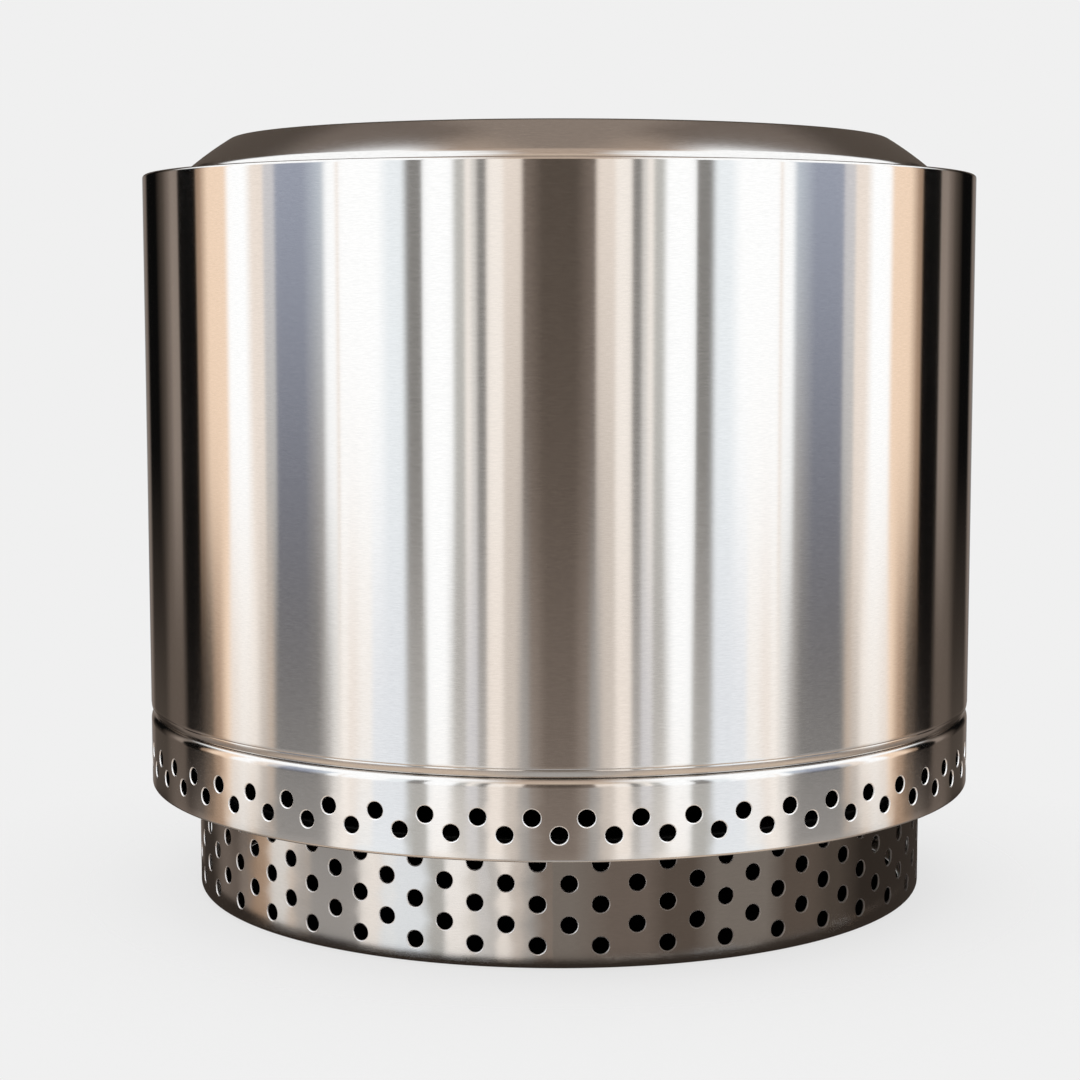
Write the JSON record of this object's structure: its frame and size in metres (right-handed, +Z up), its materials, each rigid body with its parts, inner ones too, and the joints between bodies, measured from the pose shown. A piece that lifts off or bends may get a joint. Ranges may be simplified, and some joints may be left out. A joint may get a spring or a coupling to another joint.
{
  "type": "smokeless fire pit",
  "caption": "Double-walled round steel fire pit with a conical flame ring, grate, ash pan and perforated stand.",
  "frame": {"origin": "middle of the stand's foot, on the surface that it stands on", "axes": "+Z up along the pit's axis, -Y towards the front of the picture, +X to the viewer's right"},
  "size_m": [0.495, 0.495, 0.4464],
  "materials": {
    "brushed_shell": "brushed round the body",
    "brushed_ring": "brushed round the ring",
    "stand_steel": "brushed, slightly duller",
    "plain_steel": "mill finish sheet",
    "liner_steel": "mill finish sheet",
    "pan_steel": "pressed sheet, satin",
    "grate_steel": "pressed plate, satin",
    "fastener_steel": "turned, semi-bright"
  },
  "bodies": {
    "stand": {"stand_wall": "stand_steel", "stand_top_ring": "stand_steel"},
    "pit": {"outer_wall": "brushed_shell", "vent_band": "brushed_shell", "bottom_pan": "plain_steel", "heat_shield": "liner_steel", "shield_standoff_1": "fastener_steel", "shield_standoff_2": "fastener_steel", "shield_standoff_3": "fastener_steel", "shield_standoff_4": "fastener_steel", "shield_rivet_1": "fastener_steel", "shield_rivet_2": "fastener_steel", "shield_rivet_3": "fastener_steel", "shield_rivet_4": "fastener_steel", "chamber_wall": "liner_steel", "chamber_floor": "liner_steel", "chamber_bracket_1": "plain_steel", "chamber_bracket_2": "plain_steel", "chamber_bracket_3": "plain_steel", "chamber_bracket_4": "plain_steel", "ring_stop_1": "plain_steel", "ring_stop_2": "plain_steel", "ring_stop_3": "plain_steel", "ring_stop_4": "plain_steel"},
    "flame_ring": {"flame_ring": "brushed_ring"},
    "ash_pan": {"ash_pan": "pan_steel", "ash_pan_hub": "pan_steel"},
    "grate": {"grate": "grate_steel"}
  },
  "joints": [
    {"name": "stand_lift", "type": "slide", "parent": "stand", "child": "pit", "axis": [0, 0, 1], "range_m": [0, 0.1]},
    {"name": "ring_lift", "type": "slide", "parent": "pit", "child": "flame_ring", "axis": [0, 0, 1], "range_m": [0, 0.12]},
    {"name": "pan_lift", "type": "slide", "parent": "pit", "child": "ash_pan", "axis": [0, 0, 1], "range_m": [0, 0.4]},
    {"name": "grate_lift", "type": "slide", "parent": "ash_pan", "child": "grate", "axis": [0, 0, 1], "range_m": [0, 0.38]}
  ]
}
